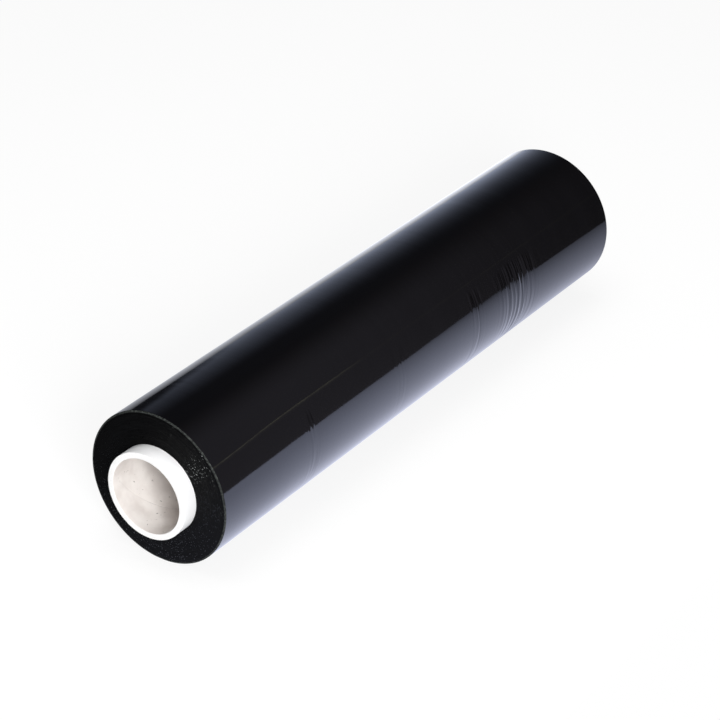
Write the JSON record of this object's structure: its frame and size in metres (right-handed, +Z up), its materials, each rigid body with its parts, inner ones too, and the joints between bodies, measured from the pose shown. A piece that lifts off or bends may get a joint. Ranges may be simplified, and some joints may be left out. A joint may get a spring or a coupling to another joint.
{
  "type": "stretch wrap roll",
  "caption": "Roll of black plastic stretch film wound on a cardboard core that sticks out at both ends, for wrapping pallets by hand.",
  "frame": {"origin": "on the surface the roll lies on, under the middle of the roll, at the centre of the small flat spot", "axes": "+X along the roll's axis, +Z up, +Y across the roll"},
  "size_m": [0.473, 0.103, 0.1026],
  "materials": {
    "core_board": "white paper outside, grey recycled board inside",
    "film": "glossy"
  },
  "bodies": {
    "root": {"core_tube": "core_board", "film_roll": "film"}
  },
  "joints": []
}
